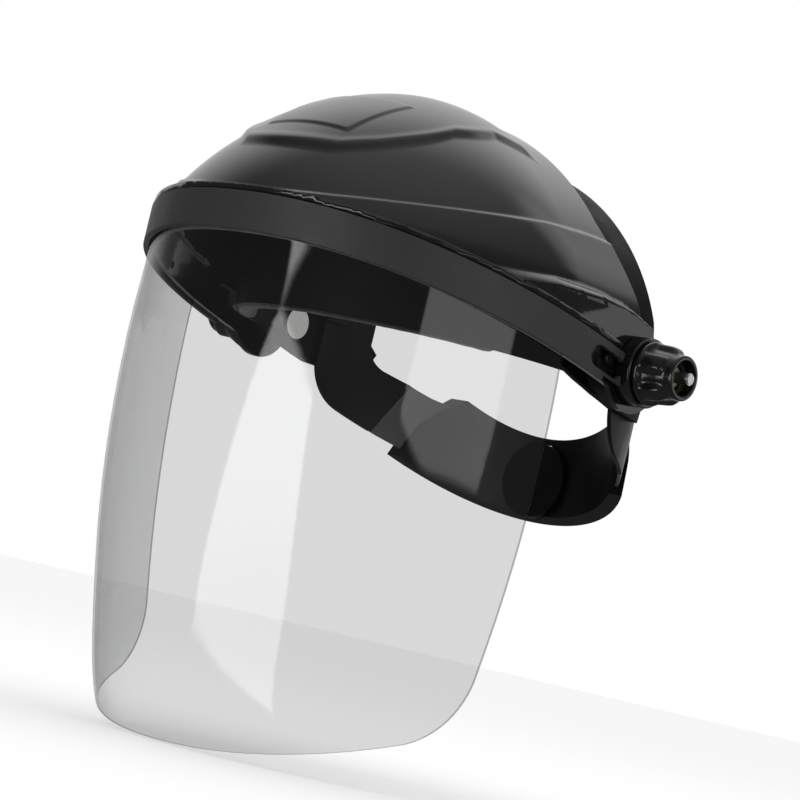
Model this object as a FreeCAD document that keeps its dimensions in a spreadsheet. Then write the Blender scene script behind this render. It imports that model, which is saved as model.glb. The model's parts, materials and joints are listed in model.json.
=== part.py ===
"""Face shield: a tilting crown and clear visor on ratchet headgear.

Frame: millimetres, +Z up, the wearer faces -Y and the wearer's left is +X.  The origin is the middle
of the tilt axis, which runs along X through both temple pivots.  The shield is modelled lowered.
"""
import FreeCAD
import Part
import Sketcher
import math
import os

from FreeCAD import Placement, Rotation, Vector

X_AXIS = Vector(1, 0, 0)
Y_AXIS = Vector(0, 1, 0)
Z_AXIS = Vector(0, 0, 1)
SIDES = (("left", 1), ("right", -1))
FAR = 400.0

doc = FreeCAD.newDocument("face_shield")

# --------------------------------------------------------------------------------------------
# Driving dimensions, in millimetres and degrees.
# --------------------------------------------------------------------------------------------
DIMENSIONS = {
    # rim: a superellipse in plan, widest a little ahead of the tilt axis, rising to the brow
    "rim_half_width": 112.0,
    "rim_depth": 131.0,
    "rim_ahead": 10.0,
    "rim_power": 2.18,
    "rim_level": -13.5,
    "rim_rise": 29.0,
    "rim_height": 15.3,
    "rim_wall": 2.4,
    "rim_end": -8.5,
    "rim_step_ahead": 25.0,
    "rim_step": 2.5,
    "lock_width": 9.0,
    "lock_length": 21.0,
    "lock_radius": 2.2,
    # visor: clamped behind the rim, bowed in towards the chin, longest at the middle
    "visor_wall": 1.0,
    "visor_gap": 0.4,
    "visor_overlap": 9.0,
    "visor_edge_ahead": 47.0,
    "visor_side_level": -160.0,
    "visor_front_level": -193.0,
    "visor_corner": 22.0,
    "visor_flare": 0.04,
    "visor_bow": 0.00089,
    "peg_radius": 1.8,
    "peg_count": 6.0,
    # crown: half a dome ahead of its widest section, straight behind it
    "crown_half_width": 107.8,
    "crown_depth": 109.0,
    "crown_rise": 100.0,
    "crown_base": -4.0,
    "crown_ahead": 39.0,
    "crown_power": 1.77,
    "crown_wall": 2.4,
    "crown_back": -11.0,
    "lip_height": 2.6,
    "ear_radius": 17.5,
    "ear_wall": 2.6,
    # tilt pivots
    "bolt_radius": 2.5,
    "bolt_end": 136.0,
    "bolt_end_length": 6.0,
    "bolt_relief_radius": 2.1,
    "bolt_chamfer": 0.5,
    "bolt_head_radius": 7.0,
    "bolt_head_height": 2.5,
    "running_gap": 0.3,
    "hole_clearance": 0.1,
    "hub_radius": 11.0,
    "face_gap": 0.12,
    "rim_gap": 0.5,
    "flange_radius": 14.4,
    "flange_wall": 7.2,
    "knob_base_radius": 10.2,
    "knob_skirt_radius": 13.2,
    "knob_rib_radius": 12.5,
    "knob_rib_end_radius": 11.6,
    "knob_collar_radius": 9.4,
    "knob_length": 17.3,
    "knob_collar_length": 5.5,
    "knob_recess_radius": 7.2,
    "knob_recess_depth": 5.0,
    "knob_ribs": 5.0,
    "rib_width": 7.0,
    "insert_radius": 4.4,
    # headgear: an elliptical loop about the head
    "head_half_width": 86.0,
    "head_front": 98.0,
    "head_rear": 87.0,
    "head_ahead": -5.0,
    "band_wall": 2.0,
    "headband_low": -6.0,
    "headband_high": 27.0,
    "pad_wall": 6.0,
    "pad_proud": 1.5,
    "plate_wall": 3.0,
    "nape_wall": 1.8,
    "nape_channel": 1.7,
    "nape_lip": 3.5,
    "rack_wall": 1.4,
    "rack_finger": 4.0,
    "finger_reach": 22.0,
    "strap_sheet_start": 24.0,
    "strap_wall": 1.6,
    "strap_top": 86.5,
    "strap_base": 4.0,
    "strap_front": 14.0,
    "strap_back": 33.0,
    "strap_spread": 12.0,
    "strap_half_width": 81.2,
    "strap_arm_top": 20.0,
    "strap_tab": 7.0,
    "strap_hole_radius": 2.2,
    "strap_hole_step": 7.0,
    "rivet_radius": 2.0,
    "rivet_back": 22.0,
    "rivet_level": 12.0,
    "ratchet_level": -44.0,
    "housing_radius": 17.0,
    "housing_depth": 9.0,
    "housing_wall": 2.0,
    "ratchet_knob_radius": 18.0,
    "ratchet_knob_depth": 9.0,
    "ratchet_lobes": 9.0,
    "pinion_radius": 6.0,
    "pinion_root_radius": 4.8,
    "pinion_teeth": 12.0,
    "axle_radius": 1.8,
}

sheet = doc.addObject("Spreadsheet::Sheet", "Dimensions")
for row, (name, value) in enumerate(DIMENSIONS.items(), start=1):
    sheet.set("A%d" % row, name)
    sheet.set("B%d" % row, str(value))
    sheet.setAlias("B%d" % row, name)
doc.recompute()

parts = []


def size(name):
    """The value of one driving dimension, read back from the sheet."""
    return float(getattr(sheet, name))


def keep(thing, label):
    """Name a finished sub-part and put it on the list that is written out."""
    thing.Label = label
    parts.append(thing)
    return thing


def keep_shape(label, shape):
    """A sub-part whose form is worked out from the sheet with Part's own functions."""
    feature = doc.addObject("Part::Feature", label)
    feature.Shape = shape.removeSplitter()
    feature.Placement = Placement()
    return keep(feature, label)


# --------------------------------------------------------------------------------------------
# Shapes used by several sub-parts
# --------------------------------------------------------------------------------------------
def spline(points):
    """A smooth edge through the points."""
    curve = Part.BSplineCurve()
    curve.interpolate(points)
    return curve.toShape()


def line(start, end):
    return Part.LineSegment(start, end).toShape()


def side_prism(edges):
    """A closed outline in the YZ plane, run right through the object along X."""
    face = Part.Face(Part.Wire(edges))
    solid = face.extrude(Vector(2 * FAR, 0, 0))
    solid.translate(Vector(-FAR, 0, 0))
    return solid


def side_polygon(corners):
    """side_prism of straight lines between (y, z) corners."""
    points = [Vector(0, y, z) for y, z in corners]
    return side_prism([line(a, b) for a, b in zip(points, points[1:] + points[:1])])


def side_disc(radius, y=0.0, z=0.0):
    """A long cylinder along X."""
    return Part.makeCylinder(radius, 2 * FAR, Vector(-FAR, y, z), X_AXIS)


def superellipse(half_width, depth, power, angle):
    """Point and outward normal of one quarter after another of |x/w|^p + |y/d|^p = 1."""
    c = math.cos(math.radians(angle))
    s = math.sin(math.radians(angle))
    x = half_width * math.copysign(abs(c) ** (2 / power), c)
    y = depth * math.copysign(abs(s) ** (2 / power), s)
    nx = math.copysign(abs(x / half_width) ** (power - 1) / half_width, x)
    ny = math.copysign(abs(y / depth) ** (power - 1) / depth, y)
    return Vector(x, y, 0), Vector(nx, ny, 0).normalize()


def rim_point(angle, offset):
    """A point of the rim's outline in plan, 0 at the left side, 90 at the brow."""
    point, normal = superellipse(size("rim_half_width"), -size("rim_depth"), size("rim_power"), angle)
    normal.y = -abs(normal.y)
    return point + normal * offset - Vector(0, size("rim_ahead"), 0)


def rim_level(y):
    """Height of the rim's lower edge at depth y."""
    front = size("rim_ahead") + size("rim_depth")
    return size("rim_level") + size("rim_rise") * (-y / front)


def rim_wall(outer, inner, back):
    """The wall between two offsets of the rim's outline, with straight sides back to y = back."""
    angles = [i * 7.5 for i in range(25)]
    out = [rim_point(a, outer) for a in angles]
    inn = [rim_point(a, inner) for a in angles]
    ends = [Vector(p.x, back, 0) for p in (out[0], out[-1], inn[-1], inn[0])]
    edges = [spline(out), line(out[-1], ends[1]), line(ends[1], ends[2]), line(ends[2], inn[-1])]
    edges += [spline(inn[::-1]), line(inn[0], ends[3]), line(ends[3], ends[0]), line(ends[0], out[0])]
    solid = Part.Face(Part.Wire(edges)).extrude(Vector(0, 0, 2 * FAR))
    solid.translate(Vector(0, 0, -FAR))
    return solid


def rim_slab(low, high, back):
    """The sloping slab from low to high above the rim's lower edge, ahead of y = back."""
    front = -FAR / 2
    corners = [(back, rim_level(back) + low), (front, rim_level(front) + low)]
    corners += [(front, rim_level(front) + high), (back, rim_level(back) + high)]
    return side_polygon(corners)


def head_point(angle, offset):
    """A point of the head loop in plan: 0 left, 90 rear, 180 right, 270 brow."""
    c = math.cos(math.radians(angle))
    s = math.sin(math.radians(angle))
    wide = size("head_half_width")
    deep = size("head_rear") if s > 0 else size("head_front")
    normal = Vector(c / wide, s / deep, 0).normalize()
    return Vector(wide * c, deep * s - size("head_ahead"), 0) + normal * offset


def head_wall(outer, inner, start, end):
    """The wall between two offsets of the head loop, from one angle to another."""
    steps = 24
    angles = [start + (end - start) * i / steps for i in range(steps + 1)]
    out = [head_point(a, outer) for a in angles]
    inn = [head_point(a, inner) for a in angles]
    edges = [spline(out), line(out[-1], inn[-1]), spline(inn[::-1]), line(inn[0], out[0])]
    solid = Part.Face(Part.Wire(edges)).extrude(Vector(0, 0, 2 * FAR))
    solid.translate(Vector(0, 0, -FAR))
    return solid


# --------------------------------------------------------------------------------------------
# Parametric bodies: rings, discs and rods on the X or Y axis
# --------------------------------------------------------------------------------------------
def sketch_on_xy(body, label):
    sketch = body.newObject("Sketcher::SketchObject", label)
    plane = [f for f in body.Origin.OriginFeatures if f.Role == "XY_Plane"][0]
    sketch.AttachmentSupport = [(plane, "")]
    sketch.MapMode = "FlatFace"
    return sketch


def add_circle(sketch, expression):
    """A circle about the sketch's origin whose radius is bound to the sheet."""
    index = sketch.addGeometry(Part.Circle(Vector(), Z_AXIS, 1.0), False)
    sketch.addConstraint(Sketcher.Constraint("Coincident", index, 3, -1, 1))
    radius = sketch.addConstraint(Sketcher.Constraint("Radius", index, 1.0))
    sketch.setExpression("Constraints[%d]" % radius, expression)


def ring(label, radii, length, base, axis):
    """A padded disc or ring: radii holds one or two expressions, outer first."""
    body = doc.addObject("PartDesign::Body", label)
    sketch = sketch_on_xy(body, label + "_outline")
    for expression in radii:
        add_circle(sketch, expression)
    pad = body.newObject("PartDesign::Pad", label + "_pad")
    pad.Profile = sketch
    pad.setExpression("Length", length)
    body.Placement = Placement(base, Rotation(Z_AXIS, axis))
    return body


def cell(name):
    return "Dimensions." + name


def fused(label, things):
    fusion = doc.addObject("Part::MultiFuse", label)
    fusion.Shapes = things
    return fusion


def cut(label, base, tool):
    result = doc.addObject("Part::Cut", label)
    result.Base = base
    result.Tool = tool
    return result


def cylinder(label, radius, height, base, axis):
    """A Part cylinder whose radius and height are bound to the sheet."""
    thing = doc.addObject("Part::Cylinder", label)
    thing.setExpression("Radius", radius)
    thing.setExpression("Height", height)
    thing.Placement = Placement(base, Rotation(Z_AXIS, axis))
    return thing


# --------------------------------------------------------------------------------------------
# Shield: rim, visor, pegs, locks and crown
# --------------------------------------------------------------------------------------------
visor_outer = -size("rim_wall") - size("visor_gap")
visor_inner = visor_outer - size("visor_wall")
flange_outer = visor_inner - size("visor_gap")
flange_inner = flange_outer - size("ear_wall")
rim_front = -size("rim_ahead") - size("rim_depth")
rim_top = size("rim_height")
lock_y = -size("rim_step_ahead") + 1.0
ear_x = size("rim_half_width") + flange_outer
flange_start = ear_x + size("running_gap")
lock_z = rim_level(lock_y) + rim_top / 2


def lock_slot():
    """An oblong along the rim beside each ear, run through along X."""
    half = (size("lock_length") - size("lock_width")) / 2
    radius = size("lock_width") / 2
    corners = [(-half, -radius), (half, -radius), (half, radius), (-half, radius)]
    oblong = side_polygon(corners)
    oblong = oblong.fuse([side_disc(radius, -half), side_disc(radius, half)])
    slope = math.degrees(math.atan2(size("rim_rise"), -rim_front))
    oblong.rotate(Vector(), X_AXIS, -slope)
    oblong.translate(Vector(0, lock_y, lock_z))
    return oblong


def rim_trim():
    """The satin band that clamps the visor, stepped up at its ends."""
    band = rim_wall(0, -size("rim_wall"), size("rim_end"))
    band = band.common(rim_slab(0, rim_top, size("rim_end")))
    step = rim_slab(-1, size("rim_step"), FAR / 4)
    behind = Part.makeBox(2 * FAR, FAR, 2 * FAR, Vector(-FAR, -size("rim_step_ahead"), -FAR))
    band = band.cut(step.common(behind)).cut(lock_slot())
    return band.cut(side_disc(size("flange_radius") + 2 * size("running_gap")))


def visor_offset(level):
    """How far the visor stands out from its line in the rim, at a height."""
    depth = -level
    return size("visor_flare") * depth - size("visor_bow") * depth * depth


def visor_section(level, inner):
    """One closed level section of the visor sheet, front half of the outline."""
    out_by = visor_outer + visor_offset(min(level, 0)) - (size("visor_wall") if inner else 0)
    points = [rim_point(a, out_by) + Vector(0, 0, level) for a in [6 + 7 * i for i in range(25)]]
    return Part.Wire([spline(points), line(points[-1], points[0])])


def visor_outline():
    """Side view of the visor: nearly upright rear edge, round corner, edge falling to the front."""
    rear = -size("visor_edge_ahead")
    side = size("visor_side_level")
    front = size("visor_front_level")
    bottom_rear = Vector(0, rear + 7, side)
    bottom_front = Vector(0, rim_front - 5, front - 9)
    top_rear = Vector(0, rear, rim_level(rear) + size("visor_overlap"))
    top_front = Vector(0, rim_front - 5, rim_level(rim_front - 5) + size("visor_overlap"))
    up = (top_rear - bottom_rear).normalize()
    ahead = (bottom_front - bottom_rear).normalize()
    corner = size("visor_corner")
    start = bottom_rear + up * corner
    end = bottom_rear + ahead * corner
    middle = bottom_rear + (up + ahead) * (corner * 0.3)
    round_corner = Part.Arc(start, middle, end).toShape()
    edges = [line(top_rear, start), round_corner, line(end, bottom_front)]
    edges += [line(bottom_front, top_front), line(top_front, top_rear)]
    return side_prism(edges)


def visor_lens():
    levels = [36, 24, 12, 0, -12, -35, -70, -105, -140, -175, -215]
    outer = Part.makeLoft([visor_section(z, False) for z in levels], True, False)
    inner = Part.makeLoft([visor_section(z, True) for z in levels], True, False)
    behind = Part.makeBox(2 * FAR, FAR, 2 * FAR, Vector(-FAR, -size("visor_edge_ahead") + 20, -FAR))
    return outer.cut(inner).common(visor_outline()).cut(behind)


def peg_places():
    """Angle of each visor peg along the rim, spread evenly either side of the brow."""
    count = int(size("peg_count"))
    return [30 + 120.0 * i / (count - 1) for i in range(count)]


def peg(angle, radius, start, end):
    """A round peg across the rim's wall at an angle, from one offset to another."""
    foot = rim_point(angle, start)
    head = rim_point(angle, end)
    up = Vector(0, 0, rim_level(rim_point(angle, 0).y) + size("visor_overlap") / 2)
    return Part.makeCylinder(radius, (head - foot).Length, foot + up, head - foot)


def crown_section(level, wall):
    """One level section of the dome: half an ellipse ahead, straight sides behind."""
    rise = (level - size("crown_base")) / (size("crown_rise") - wall)
    shrink = (1 - rise ** size("crown_power")) ** (1 / size("crown_power"))
    half_width = (size("crown_half_width") - wall) * shrink
    depth = (size("crown_depth") - wall) * shrink
    middle = -size("crown_ahead")
    points = []
    for i in range(25):
        angle = math.radians(7.5 * i)
        points.append(Vector(half_width * math.cos(angle), middle - depth * math.sin(angle), level))
    back = 30.0
    rear_left = Vector(half_width, back, level)
    rear_right = Vector(-half_width, back, level)
    sides = [line(points[-1], rear_right), line(rear_right, rear_left), line(rear_left, points[0])]
    return Part.Wire([spline(points)] + sides)


def dome(wall):
    top = size("crown_base") + size("crown_rise") - wall
    base = size("crown_base") + 0.5
    levels = [base + (top - base) * f for f in (0, 0.12, 0.25, 0.4, 0.55, 0.7, 0.82, 0.91, 0.965, 0.993)]
    return Part.makeLoft([crown_section(z, wall) for z in levels], True, False)


def crown_shell():
    """The dome, the ledge over the rim, the flange behind the visor and an ear at each pivot."""
    back = size("crown_back")
    high = 2 * FAR
    ledge_low = rim_top + size("visor_gap")
    above = [(back, high), (back, 58), (back + 5, 44), (back + 13, 26), (8, 12)]
    above += [(8, rim_level(8) + ledge_low), (-FAR, rim_level(-FAR) + ledge_low), (-FAR, high)]
    shell = dome(0).cut(dome(size("crown_wall"))).common(side_polygon(above))
    ledge_back = -size("flange_radius") - 2.0
    ledge = rim_wall(-0.5, flange_inner, ledge_back + 8)
    ledge = ledge.common(rim_slab(ledge_low, ledge_low + size("lip_height"), ledge_back))
    flange = rim_wall(flange_outer, flange_inner, 0.0).common(rim_slab(1.0, ledge_low + 1, 0.0))
    neck = side_polygon([(-24, -6), (14, -6), (7, 12), (-24, 20)])
    ear = rim_wall(flange_outer, flange_inner, 2 * size("ear_radius"))
    ear = ear.common(side_disc(size("ear_radius")).fuse(neck))
    solid = shell.fuse([ledge, flange, ear])
    for angle in peg_places():
        solid = solid.cut(peg(angle, size("peg_radius") + 0.05, flange_inner - 1, flange_outer + 1))
    room_end = ear_x - size("ear_wall") - size("face_gap")
    room_base = Vector(-room_end, 0, 0)
    hub_room = Part.makeCylinder(size("hub_radius") + size("rim_gap"), 2 * room_end, room_base, X_AXIS)
    solid = solid.cut(hub_room)
    for _, sign in SIDES:
        room_start = Vector(sign * (ear_x + size("face_gap")), 0, 0)
        washer_radius = size("flange_radius") + size("rim_gap")
        washer_room = Part.makeCylinder(washer_radius, 20, room_start, X_AXIS * sign)
        solid = solid.cut(washer_room)
    return solid.cut(side_disc(size("bolt_radius") + size("running_gap")))


lens = visor_lens()
for angle in peg_places():
    lens = lens.cut(peg(angle, size("peg_radius") + 0.3, flange_inner, -0.1))
lens_solids = sorted(lens.Solids, key=lambda solid: solid.Volume)
keep_shape("visor_lens", lens_solids[-1])
keep_shape("rim_trim", rim_trim())
keep_shape("crown_shell", crown_shell())
pegs = [peg(a, size("peg_radius"), flange_inner, visor_outer + 0.2) for a in peg_places()]
keep_shape("visor_pegs", Part.makeCompound(pegs))

# The lock pin stands on the flange in the rear end of each oblong window.
for side, sign in SIDES:
    lock = cylinder("lock_%s" % side, cell("lock_radius"), cell("rim_wall"),
                    Vector(sign * ear_x, lock_y + 2.5, lock_z + 1.8), X_AXIS * sign)
    keep(lock, "trim_lock_%s" % side)

# --------------------------------------------------------------------------------------------
# Headgear: headband, sweatband, side plates, side arms and crown straps
# --------------------------------------------------------------------------------------------
half_band = size("band_wall") / 2
plate_inner = half_band + size("running_gap")
plate_outer = plate_inner + size("plate_wall")


def level_slab(low, high):
    return Part.makeBox(2 * FAR, 2 * FAR, high - low, Vector(-FAR, -FAR, low))


def rivet_hole():
    """The hole for the rivet that joins crown strap, side arm and side plate."""
    return side_disc(size("rivet_radius") + 0.1, size("rivet_back"), size("rivet_level"))


def mirrored(shape, sign):
    return shape if sign > 0 else shape.mirror(Vector(), X_AXIS)


headband = head_wall(half_band, -half_band, 190, 350)
headband = headband.common(level_slab(size("headband_low"), size("headband_high")))
keep_shape("front_headband", headband)

pad_outer = -half_band - size("running_gap")
pad = head_wall(pad_outer, pad_outer - size("pad_wall"), 212, 328)
pad_low = size("headband_low") - size("pad_proud")
pad_high = size("headband_high") + size("pad_proud")
keep_shape("sweatband", pad.common(level_slab(pad_low, pad_high)))


def side_plate():
    """A plate over the end of the headband, with the pivot hole, rising ahead of it under the rim."""
    corners = [(-26, -3), (-12, -8.5), (0, -12), (14, -15), (43, -16), (48, -3), (30, 17), (-26, 17)]
    plate = head_wall(plate_outer, plate_inner, -24, 38).common(side_polygon(corners))
    return plate.cut(side_disc(size("bolt_radius") + size("hole_clearance"))).cut(rivet_hole())


def side_arm():
    """The wide strap that drops behind the pivot and turns back towards the nape."""
    front = Part.Arc(Vector(0, 18, -8), Vector(0, 23, -24), Vector(0, 36, -33)).toShape()
    rear = Part.Arc(Vector(0, 52, -10), Vector(0, 45.5, -6), Vector(0, 43, 2)).toShape()
    edges = [line(Vector(0, 18, 20), Vector(0, 18, -8)), front]
    edges += [line(Vector(0, 36, -33), Vector(0, 51, -38)), line(Vector(0, 51, -38), Vector(0, 62, -13))]
    edges += [line(Vector(0, 62, -13), Vector(0, 52, -10)), rear]
    edges += [line(Vector(0, 43, 2), Vector(0, 43, 20)), line(Vector(0, 43, 20), Vector(0, 18, 20))]
    return head_wall(half_band, -half_band, 0, 70).common(side_prism(edges)).cut(rivet_hole())


rack_centre = size("ratchet_level")
rack_half = size("rack_wall") / 2


def turned(sign, start, end):
    """Angles round the head loop for the left side, or the same stretch on the right."""
    return (start, end) if sign > 0 else (180 - end, 180 - start)


def adjusting_strap(sign):
    """A flexible strap from the arm through the nape band, ending in a rack beside the pinion."""
    broad = [(51.6, -38.2), (62.6, -13.4), (70, -16.5), (78, -18.6), (87, -26.8), (87, -53.5), (62, -41.6)]
    sheet_room = Part.makeBox(FAR, FAR, 2 * FAR, Vector(size("strap_sheet_start"), 0, -FAR))
    gap = size("pinion_radius") + 0.4
    finger_low = rack_centre + (gap if sign > 0 else -gap - size("rack_finger"))
    finger_length = size("finger_reach") + size("strap_sheet_start") + 1
    finger_corner = Vector(-size("finger_reach"), 60.0, finger_low)
    finger_room = Part.makeBox(finger_length, FAR, size("rack_finger"), finger_corner)
    room = side_polygon(broad).common(sheet_room).fuse(finger_room)
    return head_wall(rack_half, -rack_half, *turned(sign, 15, 104)).common(mirrored(room, sign))


def arch_point(angle, inset, y):
    """A point of the crown strap's arch, 0 at the left temple, 90 at the top of the head."""
    base = size("strap_base")
    rise = size("strap_top") - base
    x = (size("strap_half_width") - inset) * math.cos(math.radians(angle))
    z = base + (rise - inset) * math.sin(math.radians(angle))
    return Vector(x, y, z)


def arch_band(start, end, inset, front, back):
    """A strip of the arch between two angles, one strap wall thick."""
    steps = 18
    angles = [start + (end - start) * i / steps for i in range(steps + 1)]
    out = [arch_point(a, inset, front) for a in angles]
    inn = [arch_point(a, inset + size("strap_wall"), front) for a in angles]
    edges = [spline(out), line(out[-1], inn[-1]), spline(inn[::-1]), line(inn[0], out[0])]
    return Part.Face(Part.Wire(edges)).extrude(Vector(0, back - front, 0))


def strap_hole(angle, radius):
    """A round hole through both straps on their centre line."""
    middle = (size("strap_front") + size("strap_back")) / 2
    outer = arch_point(angle, -2.0, middle)
    inner = arch_point(angle, 8.0, middle)
    return Part.makeCylinder(radius, (inner - outer).Length, outer, inner - outer)


def strap_side(margin):
    """Side view of a crown strap: a narrow tab at the rivet, wide above the arm, narrower at the top."""
    front = size("strap_front") + margin
    back = size("strap_back") - margin
    wide = back + size("strap_spread")
    arm_top = size("strap_arm_top")
    tab_back = size("rivet_back") + size("strap_tab")
    corners = [(front, size("strap_base")), (tab_back, size("strap_base")), (tab_back, arm_top + 0.5)]
    corners += [(wide, arm_top + 0.5), (wide, arm_top + 8), (back, size("strap_top") - 6)]
    corners += [(back, FAR), (front, FAR)]
    return side_polygon(corners)


peg_angle = 90.0
strap_holes = [peg_angle + size("strap_hole_step") * i for i in (-2, -1, 0, 1, 2)]
lap = size("strap_wall") + 0.2
strap_depth = (0.0, FAR / 4)
left_strap = arch_band(1, 108, 0.0, *strap_depth).common(strap_side(0.0)).cut(rivet_hole())
right_strap = arch_band(179, 112, 0.0, *strap_depth)
right_step = arch_band(118, 112, lap / 2, *strap_depth)
right_strap = right_strap.fuse([right_step, arch_band(118, 72, lap, *strap_depth)])
right_strap = right_strap.common(strap_side(0.0)).cut(rivet_hole())
for angle in strap_holes:
    left_strap = left_strap.cut(strap_hole(angle, size("strap_hole_radius")))
right_strap = right_strap.cut(strap_hole(peg_angle, size("strap_hole_radius")))
keep_shape("crown_strap_left", left_strap)
keep_shape("crown_strap_right", right_strap)

for side, sign in SIDES:
    keep_shape("side_plate_%s" % side, mirrored(side_plate(), sign))
    keep_shape("side_arm_%s" % side, mirrored(side_arm(), sign))
    keep_shape("adjusting_strap_%s" % side, adjusting_strap(sign))

# One rivet each side joins the strap, arm and plate: a stem with a flat head at both ends.
rivets = []
for _, sign in SIDES:
    inner_x = size("strap_half_width") - size("strap_wall") - 1.0
    outer_x = size("head_half_width") + plate_outer - 1.2
    for radius, start, length in ((size("rivet_radius"), inner_x, outer_x - inner_x + 0.6),
                                  (3.6, inner_x - 1.0, 1.0), (3.6, outer_x + 0.4, 1.2)):
        at = Vector(sign * start, size("rivet_back"), size("rivet_level"))
        rivets.append(Part.makeCylinder(radius, length, at, X_AXIS * sign))
left_rivet = rivets[0].fuse(rivets[1:3])
right_rivet = rivets[3].fuse(rivets[4:6])
keep_shape("strap_rivets", Part.makeCompound([left_rivet, right_rivet]))

# The peg: a button under the straps with a stem that snaps through a hole.
peg_top = size("strap_top") + 0.8
strap_middle = (size("strap_front") + size("strap_back")) / 2
peg_base = size("strap_top") - 2 * lap - 1.6
stem = cylinder("peg_stem", "2.0", "%s" % (peg_top - peg_base), Vector(0, strap_middle, peg_base), Z_AXIS)
button = cylinder("peg_button", "4.5", "1.4", Vector(0, strap_middle, peg_base), Z_AXIS)
keep(fused("peg", [stem, button]), "strap_peg")

# --------------------------------------------------------------------------------------------
# Tilt pivots: bolt, hub, flange, knob and its threaded insert on each side
# --------------------------------------------------------------------------------------------
plate_x = size("head_half_width") + plate_outer
hub_start = plate_x + size("running_gap")
hub_length = ear_x - size("ear_wall") - size("running_gap") - hub_start
knob_start = flange_start + size("flange_wall") + size("running_gap")
head_start = size("head_half_width") + plate_inner - size("bolt_head_height") - 0.9


def pivot_knob(side, sign):
    """A tapered core with ribs for the fingers and a collar around the recessed bolt end."""
    core = doc.addObject("Part::Cone", "knob_core_%s" % side)
    core.setExpression("Radius1", cell("knob_base_radius"))
    core.setExpression("Radius2", cell("knob_collar_radius"))
    core.setExpression("Height", cell("knob_length"))
    skirt = doc.addObject("Part::Cylinder", "knob_skirt_%s" % side)
    skirt.setExpression("Radius", cell("knob_skirt_radius"))
    skirt.Height = 2.0
    shapes = [core, skirt]
    count = int(size("knob_ribs"))
    for i in range(count):
        rib = doc.addObject("Part::Wedge", "knob_rib_%s_%d" % (side, i + 1))
        rib.Xmin = 0
        rib.X2min = 0
        rib.Ymin = 0
        rib.Zmin = -size("rib_width") / 2
        rib.Z2min = -size("rib_width") / 2
        rib.setExpression("Xmax", cell("knob_rib_radius"))
        rib.setExpression("X2max", cell("knob_rib_end_radius"))
        rib.setExpression("Ymax", cell("knob_length") + " - " + cell("knob_collar_length"))
        rib.setExpression("Zmax", cell("rib_width") + " / 2")
        rib.setExpression("Z2max", cell("rib_width") + " / 2")
        turn = Rotation(Z_AXIS, 360.0 * i / count + (180 if sign > 0 else 0))
        rib.Placement = Placement(Vector(), turn * Rotation(X_AXIS, 90))
        shapes.append(rib)
    solid = fused("knob_solid_%s" % side, shapes)
    bore = doc.addObject("Part::Cylinder", "knob_bore_%s" % side)
    bore.setExpression("Radius", cell("insert_radius"))
    bore.setExpression("Height", cell("knob_length"))
    recess = doc.addObject("Part::Cylinder", "knob_recess_%s" % side)
    recess.setExpression("Radius", cell("knob_recess_radius"))
    recess.setExpression("Height", cell("knob_recess_depth") + " + 1")
    depth = size("knob_length") - size("knob_recess_depth")
    recess.Placement = Placement(Vector(0, 0, depth), Rotation())
    hollow = fused("knob_hollow_%s" % side, [bore, recess])
    knob = cut("knob_%s" % side, solid, hollow)
    knob.Placement = Placement(Vector(sign * knob_start, 0, 0), Rotation(Z_AXIS, X_AXIS * sign))
    return keep(knob, "pivot_knob_%s" % side)


for side, sign in SIDES:
    outward = X_AXIS * sign
    head = cylinder("bolt_head_%s" % side, cell("bolt_head_radius"), cell("bolt_head_height"),
                    Vector(sign * head_start, 0, 0), outward)
    shank_length = "%s - %s - %s - 1" % (cell("bolt_end"), cell("bolt_end_length"), head_start)
    shank = cylinder("bolt_shank_%s" % side, cell("bolt_radius"), shank_length,
                     Vector(sign * head_start, 0, 0), outward)
    relief = cylinder("bolt_relief_%s" % side, cell("bolt_relief_radius"),
                      "%s - %s" % (cell("bolt_end"), head_start), Vector(sign * head_start, 0, 0), outward)
    end_start = size("bolt_end") - size("bolt_end_length") - size("bolt_chamfer")
    end = cylinder("bolt_end_%s" % side, cell("bolt_radius"), cell("bolt_end_length"),
                   Vector(sign * end_start, 0, 0), outward)
    keep(fused("bolt_%s" % side, [head, shank, relief, end]), "pivot_bolt_%s" % side)
    bore = cell("bolt_radius") + " + " + cell("hole_clearance")
    hub = ring("hub_%s" % side, [cell("hub_radius"), bore], "%s" % hub_length,
               Vector(sign * hub_start, 0, 0), outward)
    keep(hub, "pivot_hub_%s" % side)
    washer = ring("flange_%s" % side, [cell("flange_radius"), bore], cell("flange_wall"),
                  Vector(sign * flange_start, 0, 0), outward)
    keep(washer, "pivot_flange_%s" % side)
    pivot_knob(side, sign)
    insert = ring("insert_%s" % side,
                  [cell("insert_radius") + " - 0.05", cell("bolt_radius") + " + 0.05"],
                  "%s - %s - 0.5" % (cell("knob_length"), cell("knob_recess_depth")),
                  Vector(sign * (knob_start + 0.25), 0, 0), outward)
    keep(insert, "knob_insert_%s" % side)

# --------------------------------------------------------------------------------------------
# Nape: band with its strap channel, ratchet housing, cover, detent ring, pinion, knob and screw
# --------------------------------------------------------------------------------------------
channel = size("nape_channel") / 2 + 0.15
nape_skin = channel + size("nape_wall")
nape_y = size("head_rear") - size("head_ahead")
housing_back = nape_y + nape_skin + 0.8
housing_front = housing_back - size("housing_depth")


def along_y(radius, start, end):
    return Part.makeCylinder(radius, end - start, Vector(0, start, rack_centre), Y_AXIS)


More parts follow.
